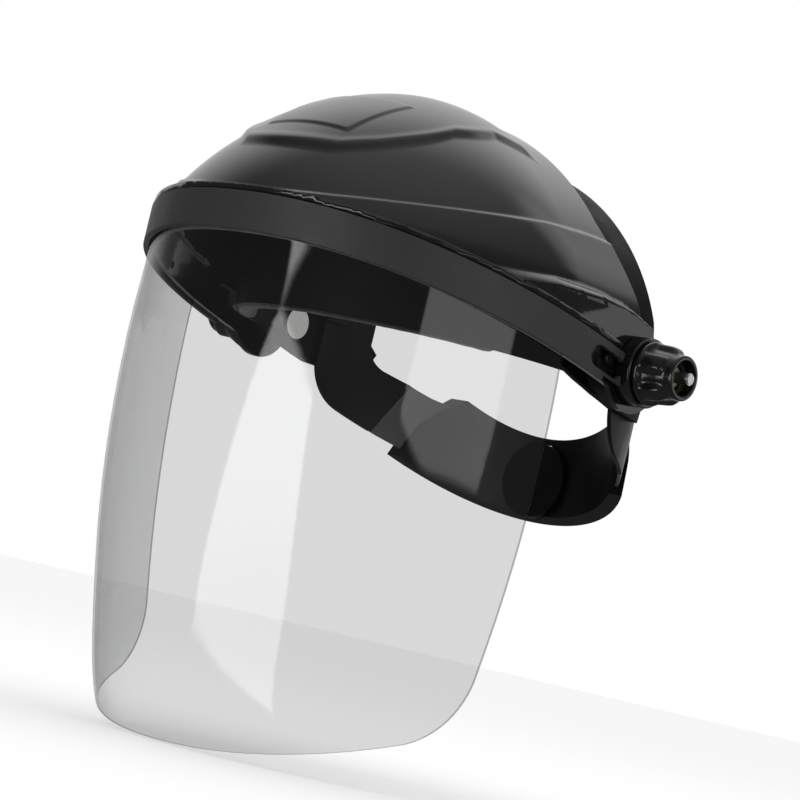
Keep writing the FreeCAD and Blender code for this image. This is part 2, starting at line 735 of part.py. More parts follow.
def nape_band():
    """The curved band with a lipped channel that the straps run in, stepped at both ends."""
    corners = [(62, -46), (67, -30), (78, -14), (100, -33.8), (100, -65)]
    lip = size("nape_lip")
    inside = [(40, -46 + lip), (62, -46 + lip), (100, -65 + lip)]
    inside += [(100, -33.8 - lip), (78, -14 - lip), (40, -14 - lip)]
    band = head_wall(nape_skin, -nape_skin, 20, 160).common(side_polygon(corners))
    slot = head_wall(channel, -channel, 10, 170).common(side_polygon(inside))
    band = band.cut(slot)
    return band.cut(along_y(size("housing_radius") + 0.2, 0, FAR))


def ratchet_housing():
    """A round case let into the band, open to the head side, slotted for the two straps."""
    wall = size("housing_wall")
    case = along_y(size("housing_radius"), housing_front, housing_back)
    case = case.cut(along_y(size("housing_radius") - wall, housing_front - 1, housing_back - wall))
    case = case.cut(along_y(size("axle_radius") + 0.3, 0, FAR))
    slot = head_wall(channel, -channel, 40, 140)
    half = size("pinion_radius") + 5.5
    return case.cut(slot.common(level_slab(rack_centre - half, rack_centre + half)))


keep_shape("nape_band", nape_band())
keep_shape("ratchet_housing", ratchet_housing())
cover = ring("cover", [cell("housing_radius")], "1.2", Vector(0, housing_front - 1.4, rack_centre), Y_AXIS)
keep(cover, "ratchet_cover")
detent = ring("detent", [cell("housing_radius") + " - " + cell("housing_wall") + " - 0.2", "12.6"], "0.6",
              Vector(0, housing_back - size("housing_wall") - 0.65, rack_centre), Y_AXIS)
keep(detent, "detent_ring")


def star(outer, inner, teeth, start, end):
    """A toothed disc on the ratchet axis."""
    points = []
    for i in range(2 * teeth):
        radius = outer if i % 2 == 0 else inner
        for shift in (-0.22, 0.22):
            angle = math.pi * (i + shift) / teeth
            points.append(Vector(radius * math.sin(angle), start, rack_centre + radius * math.cos(angle)))
    wire = Part.makePolygon(points + points[:1])
    return Part.Face(wire).extrude(Vector(0, end - start, 0))


pinion_start = housing_front + 0.8
pinion_end = housing_back - size("housing_wall") - 0.3
teeth = int(size("pinion_teeth"))
pinion = star(size("pinion_radius"), size("pinion_root_radius"), teeth, pinion_start, pinion_end)
axle = along_y(size("axle_radius"), pinion_end, housing_back + 0.35)
keep_shape("ratchet_pinion", pinion.fuse(axle).cut(along_y(1.1, 0, FAR)))


def ratchet_knob():
    """A scalloped disc with finger lobes, recessed for its screw."""
    start = housing_back + 0.4
    end = start + size("ratchet_knob_depth")
    radius = size("ratchet_knob_radius")
    lobes = int(size("ratchet_lobes"))
    knob = along_y(radius - 2.6, start, end)
    for i in range(lobes):
        angle = 2 * math.pi * i / lobes
        at = Vector((radius - 4.2) * math.sin(angle), start, rack_centre + (radius - 4.2) * math.cos(angle))
        knob = knob.fuse(Part.makeCylinder(4.2, end - start, at, Y_AXIS))
    knob = knob.cut(along_y(5.0, end - 2.5, end + 1))
    return knob.cut(along_y(1.6, 0, FAR))


keep_shape("ratchet_knob", ratchet_knob())
screw_end = housing_back + 0.4 + size("ratchet_knob_depth") - 0.9
screw_head = along_y(3.4, screw_end - 1.5, screw_end)
screw_head = screw_head.cut(Part.makeBox(5.0, 1.0, 0.9, Vector(-2.5, screw_end - 0.8, rack_centre - 0.45)))
keep_shape("ratchet_screw", screw_head.fuse(along_y(1.05, pinion_start + 1.5, screw_end - 1.4)))

# --------------------------------------------------------------------------------------------
# Check and write every sub-part
# --------------------------------------------------------------------------------------------
doc.recompute()
for thing in doc.Objects:
    if {"Invalid", "Error"} & set(thing.State):
        raise RuntimeError("%s did not compute: %s" % (thing.Label, thing.State))
os.makedirs("parts", exist_ok=True)
for thing in parts:
    if thing.Shape.isNull() or not thing.Shape.isValid():
        raise RuntimeError("%s has no valid shape" % thing.Label)
    thing.Shape.exportStep("parts/%s.step" % thing.Label)
    print(thing.Label, len(thing.Shape.Solids), round(thing.Shape.Volume / 1000, 2), "cm3")
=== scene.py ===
"""Face shield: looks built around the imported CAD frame. Metres, +Z up, the wearer faces -Y."""
import json
import math

import bmesh
import bpy
import numpy as np
from mathutils import Matrix, Vector


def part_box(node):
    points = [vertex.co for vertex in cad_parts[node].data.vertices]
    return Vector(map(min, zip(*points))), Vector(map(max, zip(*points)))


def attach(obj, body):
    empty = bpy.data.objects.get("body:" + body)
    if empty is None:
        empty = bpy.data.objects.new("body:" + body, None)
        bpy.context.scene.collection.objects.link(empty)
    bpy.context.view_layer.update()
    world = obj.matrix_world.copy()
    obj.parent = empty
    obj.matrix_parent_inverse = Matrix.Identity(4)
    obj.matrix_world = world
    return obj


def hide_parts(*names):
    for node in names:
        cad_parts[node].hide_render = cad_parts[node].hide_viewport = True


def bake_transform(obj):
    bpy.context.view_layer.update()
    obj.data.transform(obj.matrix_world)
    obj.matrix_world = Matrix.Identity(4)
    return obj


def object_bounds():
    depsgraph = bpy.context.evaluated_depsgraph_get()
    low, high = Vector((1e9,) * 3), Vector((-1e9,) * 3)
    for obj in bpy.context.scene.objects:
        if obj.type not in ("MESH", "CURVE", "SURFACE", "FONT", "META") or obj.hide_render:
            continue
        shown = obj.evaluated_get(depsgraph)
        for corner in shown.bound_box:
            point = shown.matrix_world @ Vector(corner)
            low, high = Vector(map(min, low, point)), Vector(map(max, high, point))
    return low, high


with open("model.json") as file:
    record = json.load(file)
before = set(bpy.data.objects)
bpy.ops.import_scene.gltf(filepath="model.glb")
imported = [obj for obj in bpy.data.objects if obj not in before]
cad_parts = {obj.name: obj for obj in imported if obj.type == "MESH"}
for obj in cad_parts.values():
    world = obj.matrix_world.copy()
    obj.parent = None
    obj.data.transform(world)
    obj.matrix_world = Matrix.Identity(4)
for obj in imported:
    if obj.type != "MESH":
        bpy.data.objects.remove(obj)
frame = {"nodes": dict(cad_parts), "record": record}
cad_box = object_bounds()

MM = 0.001
SIDES = (("left", 1), ("right", -1))
bodies = frame["record"]["behaviour"]["bodies"]
body_of = {node: body for body, members in bodies.items() for node in members}
slot_of = {sub["node"]: sub["material_slot"] for sub in frame["record"]["subparts"]}


# --------------------------------------------------------------------------------------------
# Camera: low, from the wearer's left front, tipped clockwise
# --------------------------------------------------------------------------------------------
CAMERA_AZIMUTH = 41.48
CAMERA_ELEVATION = -4.585
CAMERA_ROLL = 13.218
CAMERA_DISTANCE = 1.2393
CAMERA_AIM = Vector((0.01752, -0.03514, -0.03063))
CAMERA_LENS = 133.14
CAMERA_SENSOR = 36
CAMERA_NEAR = 0.05


def make_camera():
    """The photograph's view: a long lens, turned about its own axis by the roll."""
    azimuth = math.radians(CAMERA_AZIMUTH)
    elevation = math.radians(CAMERA_ELEVATION)
    roll = math.radians(CAMERA_ROLL)
    level = math.cos(elevation)
    back = Vector((math.sin(azimuth) * level, -math.cos(azimuth) * level, math.sin(elevation)))
    right = Vector((math.cos(azimuth), math.sin(azimuth), 0))
    up = back.cross(right)
    x_axis = right * math.cos(roll) + up * math.sin(roll)
    y_axis = up * math.cos(roll) - right * math.sin(roll)
    camera = bpy.data.objects.new("camera", bpy.data.cameras.new("camera"))
    bpy.context.scene.collection.objects.link(camera)
    turn = Matrix((x_axis, y_axis, back)).transposed().to_4x4()
    camera.matrix_world = Matrix.Translation(CAMERA_AIM + back * CAMERA_DISTANCE) @ turn
    camera.data.lens = CAMERA_LENS
    camera.data.sensor_width = CAMERA_SENSOR
    camera.data.clip_start = CAMERA_NEAR
    bpy.context.scene.camera = camera


make_camera()


# --------------------------------------------------------------------------------------------
# Materials
# --------------------------------------------------------------------------------------------
def material(name, color, roughness, metallic=0.0, coat=0.0, specular=0.5):
    """A Principled material with these values set on the shader's own sockets."""
    made = bpy.data.materials.new(name)
    made.use_nodes = True
    shader = made.node_tree.nodes["Principled BSDF"]
    shader.inputs["Base Color"].default_value = (*color, 1)
    shader.inputs["Roughness"].default_value = roughness
    shader.inputs["Metallic"].default_value = metallic
    shader.inputs["Coat Weight"].default_value = coat
    shader.inputs["Specular IOR Level"].default_value = specular
    return made


def node(made, kind, **settings):
    """A new shader node; a setting goes to the socket of that name, or else to the node's property."""
    new = made.node_tree.nodes.new(kind)
    for key, value in settings.items():
        if key in new.inputs:
            new.inputs[key].default_value = value
        else:
            setattr(new, key, value)
    return new


def link(made, start, end):
    made.node_tree.links.new(start, end)


def noise(made, scale, detail=3.0, roughness=0.5):
    """Noise over object coordinates, in cycles per metre."""
    coordinates = node(made, "ShaderNodeTexCoord")
    texture = node(made, "ShaderNodeTexNoise", Scale=scale, Detail=detail, Roughness=roughness)
    link(made, coordinates.outputs["Object"], texture.inputs["Vector"])
    return texture.outputs["Fac"]


def ramp(made, source, low, high, start=0.3, end=0.7):
    """source mapped from start..end to low..high, as a number."""
    mapped = node(made, "ShaderNodeMapRange")
    mapped.inputs["From Min"].default_value = start
    mapped.inputs["From Max"].default_value = end
    mapped.inputs["To Min"].default_value = low
    mapped.inputs["To Max"].default_value = high
    link(made, source, mapped.inputs["Value"])
    return mapped.outputs["Result"]


def tint(made, source, dark, light):
    """Base colour blended between two colours by source."""
    mix = node(made, "ShaderNodeMix", data_type="RGBA")
    mix.inputs["A"].default_value = (*dark, 1)
    mix.inputs["B"].default_value = (*light, 1)
    link(made, source, mix.inputs["Factor"])
    shader = made.node_tree.nodes["Principled BSDF"]
    link(made, mix.outputs["Result"], shader.inputs["Base Color"])


def bump(made, height, strength, distance):
    """Surface relief from a height, distance in metres."""
    shader = made.node_tree.nodes["Principled BSDF"]
    relief = node(made, "ShaderNodeBump", Strength=strength, Distance=distance)
    link(made, height, relief.inputs["Height"])
    link(made, relief.outputs["Normal"], shader.inputs["Normal"])


def plastic(name, dark, light, rough, rough_spread, grain, depth, coat=0.0, specular=0.5):
    """Moulded plastic: slight colour and roughness drift, fine surface grain."""
    made = material(name, dark, rough, coat=coat, specular=specular)
    shader = made.node_tree.nodes["Principled BSDF"]
    drift = noise(made, 22.0)
    tint(made, ramp(made, drift, 0.0, 1.0), dark, light)
    wear = ramp(made, noise(made, 70.0, 4.0), rough - rough_spread, rough + rough_spread)
    link(made, wear, shader.inputs["Roughness"])
    if depth:
        bump(made, noise(made, grain, 2.0), 0.6, depth)
    return made


MIRROR_POWER = 5.0
MIRROR_FACING = 0.043
MIRROR_GRAZING = 0.85


def clear_sheet(name, pass_through, roughness):
    """Thin clear sheet: each face tints the light that passes, and mirrors more at grazing angles."""
    made = bpy.data.materials.new(name)
    made.use_nodes = True
    tree = made.node_tree
    tree.nodes.remove(tree.nodes["Principled BSDF"])
    clear = node(made, "ShaderNodeBsdfTransparent", Color=(*pass_through, 1))
    gloss = node(made, "ShaderNodeBsdfGlossy", Roughness=roughness)
    smudge = noise(made, 35.0, 4.0)
    link(made, ramp(made, smudge, roughness * 0.6, roughness * 1.5), gloss.inputs["Roughness"])
    edge_on = node(made, "ShaderNodeLayerWeight", Blend=0.5)
    power = node(made, "ShaderNodeMath", operation="POWER")
    power.inputs[1].default_value = MIRROR_POWER
    link(made, edge_on.outputs["Facing"], power.inputs[0])
    mirror = ramp(made, power.outputs["Value"], MIRROR_FACING, MIRROR_GRAZING, 0.0, 1.0)
    mix = node(made, "ShaderNodeMixShader")
    link(made, mirror, mix.inputs["Fac"])
    link(made, clear.outputs["BSDF"], mix.inputs[1])
    link(made, gloss.outputs["BSDF"], mix.inputs[2])
    link(made, mix.outputs["Shader"], tree.nodes["Material Output"].inputs["Surface"])
    return made


def fabric(name):
    """Woven cover of the sweatband: crossed threads, matt with some sheen."""
    made = material(name, (0.02, 0.02, 0.022), 0.92, specular=0.25)
    shader = made.node_tree.nodes["Principled BSDF"]
    shader.inputs["Sheen Weight"].default_value = 0.35
    shader.inputs["Sheen Roughness"].default_value = 0.5
    coordinates = node(made, "ShaderNodeTexCoord")
    threads = []
    for direction in ("X", "Z"):
        wave = node(made, "ShaderNodeTexWave", bands_direction=direction, Scale=420.0, Distortion=1.2)
        link(made, coordinates.outputs["Object"], wave.inputs["Vector"])
        threads.append(wave.outputs["Fac"])
    both = node(made, "ShaderNodeMath", operation="MULTIPLY")
    link(made, threads[0], both.inputs[0])
    link(made, threads[1], both.inputs[1])
    tint(made, both.outputs["Value"], (0.012, 0.012, 0.013), (0.035, 0.035, 0.038))
    bump(made, both.outputs["Value"], 0.7, 0.0003)
    return made


def metal(name, dark, light, roughness, scratch):
    """Plated or bare metal with fine uneven scratches."""
    made = material(name, dark, roughness, metallic=1.0)
    shader = made.node_tree.nodes["Principled BSDF"]
    grain = noise(made, scratch, 5.0, 0.65)
    tint(made, ramp(made, grain, 0.0, 1.0), dark, light)
    link(made, ramp(made, grain, roughness - 0.1, roughness + 0.12), shader.inputs["Roughness"])
    bump(made, grain, 0.25, 0.00005)
    return made


MATERIALS = {
    "clear_visor": clear_sheet("clear_visor", (0.862, 0.863, 0.865), 0.012),
    "satin_trim": plastic("satin_trim", (0.030, 0.030, 0.032), (0.036, 0.036, 0.038), 0.46, 0.05,
                          5200.0, 0.00003),
    "gloss_shell": plastic("gloss_shell", (0.0055, 0.0062, 0.0062), (0.0075, 0.0083, 0.0083), 0.11, 0.02,
                           0, 0, coat=0.25),
    "gloss_knob": plastic("gloss_knob", (0.006, 0.006, 0.0065), (0.010, 0.010, 0.011), 0.16, 0.04,
                          900.0, 0.00002, coat=0.2),
    "matte_headgear": plastic("matte_headgear", (0.0035, 0.0035, 0.004), (0.006, 0.006, 0.0065), 0.5, 0.07,
                              4200.0, 0.00003, specular=0.12),
    "satin_band": plastic("satin_band", (0.004, 0.004, 0.0045), (0.006, 0.006, 0.0065), 0.38, 0.06,
                          3600.0, 0.00002, specular=0.28),
    "grey_strap": plastic("grey_strap", (0.075, 0.075, 0.078), (0.095, 0.095, 0.10), 0.38, 0.05,
                          3600.0, 0.00002),
    "sweat_fabric": fabric("sweat_fabric"),
    "zinc_steel": metal("zinc_steel", (0.62, 0.62, 0.60), (0.82, 0.82, 0.80), 0.34, 1400.0),
    "brass_insert": metal("brass_insert", (0.55, 0.42, 0.18), (0.68, 0.54, 0.26), 0.30, 1400.0),
    "spring_steel": metal("spring_steel", (0.40, 0.40, 0.41), (0.52, 0.52, 0.53), 0.28, 1600.0),
}


def dress(piece, slot):
    """Give a mesh the material of one of the record's slots."""
    piece.data.materials.clear()
    piece.data.materials.append(MATERIALS[slot])


for name, cad_node in frame["nodes"].items():
    dress(cad_node, slot_of[name])


# --------------------------------------------------------------------------------------------
# Mesh helpers
# --------------------------------------------------------------------------------------------
def add_piece(name, mesh, body, slot, *replaced):
    """Show a mesh as a piece that rides on a body and stands for the CAD nodes named."""
    piece = bpy.data.objects.new(name, mesh)
    bpy.context.scene.collection.objects.link(piece)
    if not mesh.materials:
        dress(piece, slot)
    if body:
        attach(piece, body)
    if replaced:
        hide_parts(*replaced)
    return piece


def mesh_of(name, points, faces, sharp_angle=35.0):
    """A smooth-shaded mesh from points in millimetres."""
    mesh = bpy.data.meshes.new(name)
    mesh.from_pydata([tuple(c * MM for c in point) for point in points], [], [tuple(f) for f in faces])
    mesh.validate()
    smooth(mesh, sharp_angle)
    return mesh


def smooth(mesh, sharp_angle=35.0):
    """Smooth shading, split at edges sharper than the angle in degrees."""
    mesh.shade_smooth()
    mesh.set_sharp_from_angle(angle=math.radians(sharp_angle))


def grid_faces(rows, columns, closed=False):
    """Quads between rows of points, each row with the same number of columns."""
    span = columns if closed else columns - 1
    faces = []
    for row in range(rows - 1):
        for column in range(span):
            beside = (column + 1) % columns
            low, high = row * columns, (row + 1) * columns
            faces.append((low + column, low + beside, high + beside, high + column))
    return faces


WELD_DISTANCE = 2e-6
FLAT_ANGLE = 0.6
ROUNDED_ANGLE = 38
ROUNDING_STEPS = 2


def cad_copy(node_name):
    """A welded bmesh copy of a CAD node's mesh."""
    shape = bmesh.new()
    shape.from_mesh(frame["nodes"][node_name].data)
    for layer in list(shape.loops.layers.float_vector.values()):
        shape.loops.layers.float_vector.remove(layer)
    bmesh.ops.remove_doubles(shape, verts=shape.verts, dist=WELD_DISTANCE)
    return shape


def finished(piece):
    """Apply the piece's modifiers to its mesh."""
    graph = bpy.context.evaluated_depsgraph_get()
    result = bpy.data.meshes.new_from_object(piece.evaluated_get(graph))
    piece.modifiers.clear()
    piece.data = result


def soften(node_name, edge_mm, rides=True):
    """A copy of a CAD node with its hard edges rounded as moulding leaves them."""
    shape = cad_copy(node_name)
    flat = math.radians(FLAT_ANGLE)
    bmesh.ops.dissolve_limit(shape, angle_limit=flat, verts=shape.verts, edges=shape.edges)
    mesh = bpy.data.meshes.new(node_name + "_soft")
    shape.to_mesh(mesh)
    shape.free()
    smooth(mesh, 60.0)
    piece = add_piece(node_name + "_soft", mesh, None, slot_of[node_name])
    rounding = piece.modifiers.new("rounding", "BEVEL")
    rounding.width = edge_mm * MM
    rounding.segments = ROUNDING_STEPS
    rounding.limit_method = "ANGLE"
    rounding.angle_limit = math.radians(ROUNDED_ANGLE)
    rounding.use_clamp_overlap = True
    shading = piece.modifiers.new("shading", "WEIGHTED_NORMAL")
    shading.keep_sharp = True
    finished(piece)
    if rides:
        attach(piece, body_of[node_name])
    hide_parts(node_name)
    return piece


# --------------------------------------------------------------------------------------------
# Visor: the CAD sheet with its thin cut edges in their own finish
# --------------------------------------------------------------------------------------------
PATCH_BEND = 25
SHEET_FACES = 2


def make_visor():
    """The sheet's two large faces are clear; every smaller patch between bends is a cut edge."""
    shape = cad_copy("visor_lens")
    shape.normal_update()
    bend = math.radians(PATCH_BEND)
    seen = set()
    patches = []
    for start in shape.faces:
        if start.index in seen:
            continue
        seen.add(start.index)
        patch, queue = [], [start]
        while queue:
            face = queue.pop()
            patch.append(face)
            for edge in face.edges:
                for other in edge.link_faces:
                    if other.index not in seen and other.normal.angle(face.normal, 0) < bend:
                        seen.add(other.index)
                        queue.append(other)
        patches.append((sum(face.calc_area() for face in patch), patch))
    patches.sort(key=lambda pair: -pair[0])
    for _, patch in patches[SHEET_FACES:]:
        for face in patch:
            face.material_index = 1
    mesh = bpy.data.meshes.new("visor_sheet")
    shape.to_mesh(mesh)
    shape.free()
    mesh.materials.append(MATERIALS["clear_visor"])
    mesh.materials.append(clear_sheet("visor_edge", (0.50, 0.51, 0.52), 0.2))
    smooth(mesh, 25.0)
    add_piece("visor_sheet", mesh, "shield", "clear_visor", "visor_lens")


make_visor()


# --------------------------------------------------------------------------------------------
# Crown: the dome's outer skin with its ridges and raised panel, joined to the CAD ledge and ears
# --------------------------------------------------------------------------------------------
DOME_HALF_WIDTH = 107.8
DOME_DEPTH = 109.0
DOME_RISE = 100.0
DOME_BASE = -4.0
DOME_MIDDLE = -39.0
DOME_POWER = 1.77
LEDGE_TOP = 18.3
RIM_REAR = -13.5
RIM_RISE = 29.0
RIM_LENGTH = 141.0
DOME_COLUMNS = 330
DOME_ROWS = 185
SKIN_LIFT = 0.05
SKIN_TURN_IN = 1.2
SKIN_MARGIN = 0.12
FLAT_POINTS = 60
TIP_POINTS = 420
SKIN_OVERLAP = 0.8
LEDGE_CLEAR = 0.1
# CAD faces this near the dome in mm, and facing outward by this cosine, give way to the moulded skin
DOME_MEAN_RADIUS = 104
NEAR_SKIN = 1.1
OUTWARD = 0.3


def rim_level(y):
    """Level of the trim's underside, which rises towards the front."""
    return RIM_REAR + RIM_RISE * (-y / RIM_LENGTH)


def rear_edge(z):
    """y of the dome's rear edge at a level."""
    return np.interp(z, [12, 26, 44, 58], [8, 2, -6, -11])


def dome_value(x, y, z):
    """1 on the dome's outer surface, less inside."""
    ahead = np.minimum(y - DOME_MIDDLE, 0)
    across = np.hypot(x / DOME_HALF_WIDTH, ahead / DOME_DEPTH)
    up = np.maximum(z - DOME_BASE, 0) / DOME_RISE
    return (across ** DOME_POWER + up ** DOME_POWER) ** (1 / DOME_POWER)


def step(value, start, end):
    """0 up to start and 1 from end, smooth between."""
    part = np.clip((value - start) / (end - start), 0, 1)
    return part * part * (3 - 2 * part)


def dome_lines(columns, rows):
    """The plain dome in mm: evenly spread points along lines from its rear edge to the ledge."""
    grid = np.zeros((columns, rows, 3))
    for column, turn in enumerate(np.radians(np.linspace(3.2, 176.8, columns))):
        side, lift = math.cos(turn), math.sin(turn)
        across, up = (abs(side) / DOME_HALF_WIDTH) ** DOME_POWER, (lift / DOME_RISE) ** DOME_POWER
        reach = 1 / (across + up) ** (1 / DOME_POWER)
        level = DOME_BASE + reach * lift
        back = float(rear_edge(level))
        straight = np.linspace(back, DOME_MIDDLE, FLAT_POINTS)[:-1]
        flat = np.ones(FLAT_POINTS - 1)
        tunnel = np.stack([flat * (reach * side), straight, flat * level], 1)
        tip = np.linspace(math.pi / 2, 0, TIP_POINTS)
        way = np.stack([np.full(TIP_POINTS, side), -lift * np.cos(tip), lift * np.sin(tip)], 1)
        value = dome_value(way[:, 0], DOME_MIDDLE + way[:, 1], DOME_BASE + way[:, 2])
        front = np.array([0, DOME_MIDDLE, DOME_BASE]) + way / value[:, None]
        line = np.vstack([tunnel, front])
        above = line[:, 2] - rim_level(line[:, 1]) - (LEDGE_TOP - SKIN_OVERLAP)
        below = np.nonzero(above < 0)[0]
        last = below[0] if len(below) else len(line) - 1
        line = line[:max(last + 1, 2)]
        run = np.concatenate([[0], np.cumsum(np.linalg.norm(np.diff(line, axis=0), axis=1))])
        for axis in range(3):
            grid[column, :, axis] = np.interp(np.linspace(0, run[-1], rows), run, line[:, axis])
    return grid


def ridge_offset(base, normal):
    """How far the moulded skin stands out from the plain dome, in mm."""
    x, y, z = base[..., 0], base[..., 1], base[..., 2]
    around = np.degrees(np.arctan2(-(y - DOME_MIDDLE), np.abs(x)))
    steep = np.maximum(np.sqrt(np.maximum(1 - normal[..., 2] ** 2, 0)), 0.3)
    crease = np.interp(around, [-12, -4.6, 12.5, 36, 47, 61, 72, 94], [77, 79, 81, 75, 68, 60, 55.5, 55.4])
    light = np.interp(around, [-15, -8, 9, 25.5, 39, 51, 65, 78, 90],
                      [50.5, 50, 47.8, 43.9, 40.7, 38, 35.4, 33.8, 33.4])
    wall_top = np.interp(y, [-100, -75, -55, -29, -10, 8], [19, 20.7, 23.2, 23.6, 22.0, 17.0])
    from_crease = (z - crease) / steep
    from_light = (z - light) / steep
    cap = 1.3 * step(from_crease, -3.0, 3.5) + 0.4 * np.exp(-((from_crease - 4.0) / 3.0) ** 2)
    cap = cap * step(around, -14, -4)
    band = 1.15 * (1 - step(from_light, -1.6, 0.6)) * step(z, 18, 30)
    out = np.interp(y, [-112, -96, -75, -50, -24, 8], [0, 0.6, 2.6, 4.2, 6.2, 6.2])
    level_out = step(z, wall_top + 4.5, wall_top - 2.5)
    upright = np.clip((z - DOME_BASE) / np.maximum(wall_top - DOME_BASE, 1), 0, 1) ** 1.5
    shoulder = out * level_out * np.where(z > wall_top - 2.5, 1, 0.25 + 0.75 * upright)
    depth = -y
    half = np.interp(depth, [76, 108], [25, 22])
    inside = np.minimum(half - np.abs(x), np.minimum(depth - (76.5 + 4.5 * (1 - (np.abs(x) / 25) ** 2)),
                                                      108.0 + 1.5 * (1 - (np.abs(x) / 22) ** 2) - depth))
    panel = 0.6 * step(inside, -0.7, 0.7)
    return np.maximum(cap + panel, 0) + np.maximum(band, shoulder)


def make_crown():
    """The moulded skin, its two ends turned in, joined to the CAD shell without its outer dome faces."""
    base = dome_lines(DOME_COLUMNS, DOME_ROWS)
    along = np.gradient(base, axis=1)
    across = np.gradient(base, axis=0)
    normal = np.cross(along, across)
    normal /= np.maximum(np.linalg.norm(normal, axis=2, keepdims=True), 1e-9)
    outward = base - np.array([0, DOME_MIDDLE, DOME_BASE])
    outward[..., 1] = np.minimum(outward[..., 1], 0)
    normal *= np.sign((normal * outward).sum(2))[..., None]
    skin = base + normal * (SKIN_LIFT + ridge_offset(base, normal))[..., None]
    reach = DOME_HALF_WIDTH + SKIN_MARGIN
    skin[..., 0] = np.clip(skin[..., 0], -reach, reach)
    inner = base - normal * SKIN_TURN_IN
    layers = np.concatenate([inner[:, :1], skin, inner[:, -1:]], axis=1)
    points = layers.reshape(-1, 3)
    faces = grid_faces(DOME_COLUMNS, DOME_ROWS + 2)
    mesh = mesh_of("crown_skin", points, faces, 50.0)

    shape = cad_copy("crown_shell")
    shape.normal_update()
    outer = []
    for face in shape.faces:
        corners = np.array([corner.co for corner in face.verts]) / MM
        off_skin = np.abs(dome_value(np.abs(corners[:, 0]), corners[:, 1], corners[:, 2]) - 1)
        near = off_skin * DOME_MEAN_RADIUS < NEAR_SKIN
        high = corners[:, 2] > rim_level(corners[:, 1]) + LEDGE_TOP - LEDGE_CLEAR
        middle = corners.mean(axis=0) - np.array([0, DOME_MIDDLE, DOME_BASE])
        middle[1] = min(middle[1], 0)
        if near.all() and high.all() and face.normal.dot(Vector(middle).normalized()) > OUTWARD:
            outer.append(face)
    bmesh.ops.delete(shape, geom=outer, context="FACES")
    rest = bpy.data.meshes.new("crown_rest")
    shape.to_mesh(rest)
    shape.free()
    smooth(rest, 32.0)
    joined = bmesh.new()
    joined.from_mesh(rest)
    joined.from_mesh(mesh)
    bmesh.ops.recalc_face_normals(joined, faces=joined.faces)
    whole = bpy.data.meshes.new("crown_moulded")
    joined.to_mesh(whole)
    joined.free()
    smooth(whole, 38.0)
    add_piece("crown_moulded", whole, "shield", "gloss_shell", "crown_shell")


make_crown()


# --------------------------------------------------------------------------------------------
# Pivot knobs: five finger lobes on a skirt, a collar with a recessed end
# --------------------------------------------------------------------------------------------
KNOB_PROFILE = (
    # x, radius between the lobes, radius on a lobe
    (115.62, 5.0, 5.0), (115.62, 12.7, 12.7), (115.9, 13.15, 13.15), (117.4, 13.2, 13.2),
    (117.9, 12.9, 13.05), (118.4, 11.3, 12.75), (119.3, 10.5, 12.6), (121.0, 10.2, 12.5),
    (123.5, 10.0, 12.4), (125.6, 9.85, 12.2), (126.9, 9.7, 11.8), (127.8, 9.55, 11.0),
    (128.4, 9.45, 9.9), (128.8, 9.4, 9.4), (129.4, 9.35, 9.35), (131.9, 9.35, 9.35),
    (132.5, 9.25, 9.25), (132.85, 8.9, 8.9), (132.9, 8.5, 8.5), (132.9, 7.8, 7.8),
    (132.75, 7.4, 7.4), (132.3, 7.2, 7.2), (128.4, 7.15, 7.15), (128.0, 7.0, 7.0),
    (127.95, 6.6, 6.6), (127.95, 5.0, 5.0),
)


KNOB_SEGMENTS = 150
KNOB_LOBES = 5


def make_knob(side, sign):
    turn = np.linspace(0, 2 * math.pi, KNOB_SEGMENTS, endpoint=False)
    swing = np.cos(KNOB_LOBES * (turn - math.pi / 2))
    lobe = step(swing, -0.75, 0.55)
    points = []
    for x, between, on_lobe in KNOB_PROFILE:
        radius = between + (on_lobe - between) * lobe
        for angle, r in zip(turn, radius):
            points.append((sign * x, r * math.cos(angle), r * math.sin(angle)))
    faces = grid_faces(len(KNOB_PROFILE) + 1, KNOB_SEGMENTS, closed=True)
    count = len(points)
    faces = [tuple(corner % count for corner in face) for face in faces]
    mesh = mesh_of("knob_lobed_" + side, points, faces, 60.0)
    shape = bmesh.new()
    shape.from_mesh(mesh)
    bmesh.ops.recalc_face_normals(shape, faces=shape.faces)
    shape.to_mesh(mesh)
    shape.free()
    piece = add_piece("knob_lobed_" + side, mesh, None, "gloss_knob")
    rounding = piece.modifiers.new("rounding", "SUBSURF")
    rounding.levels = 1
    rounding.render_levels = 1
    finished(piece)
    smooth(piece.data, 60.0)
    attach(piece, "knob_" + side)
    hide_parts("pivot_knob_" + side)


for side, sign in SIDES:
    make_knob(side, sign)


# --------------------------------------------------------------------------------------------
# Rounded copies of the moulded CAD pieces
# --------------------------------------------------------------------------------------------
# node and the width of its rounded edges in mm
MIDDLE_EDGES = (
    ("rim_trim", 0.5), ("front_headband", 0.4), ("nape_band", 0.5), ("ratchet_housing", 0.5),
    ("ratchet_knob", 0.5), ("crown_strap_left", 0.35), ("crown_strap_right", 0.35),
)
SIDE_EDGES = (
    ("side_plate_", 0.45), ("side_arm_", 0.45), ("pivot_flange_", 0.6), ("trim_lock_", 0.4),
)

for node_name, edge in MIDDLE_EDGES:
    soften(node_name, edge)
for side, _ in SIDES:
    for node_name, edge in SIDE_EDGES:
        soften(node_name + side, edge)


# --------------------------------------------------------------------------------------------
# Adjusting straps: rounded copies, their ends moved up against the side arms
# --------------------------------------------------------------------------------------------
# A strap leaves its side arm at a slanted seam. STRAP_RUN is the seam's normal and STRAP_SEAM its place
# along that. The strap's end there is moved STRAP_LAP towards the arm, to close the slit. In metres.
STRAP_RUN = Vector((0, 0.914, -0.405))
STRAP_SEAM = 0.0632
STRAP_LAP = 0.00045
# width of the strap's rounded edges in mm
STRAP_EDGE = 0.25

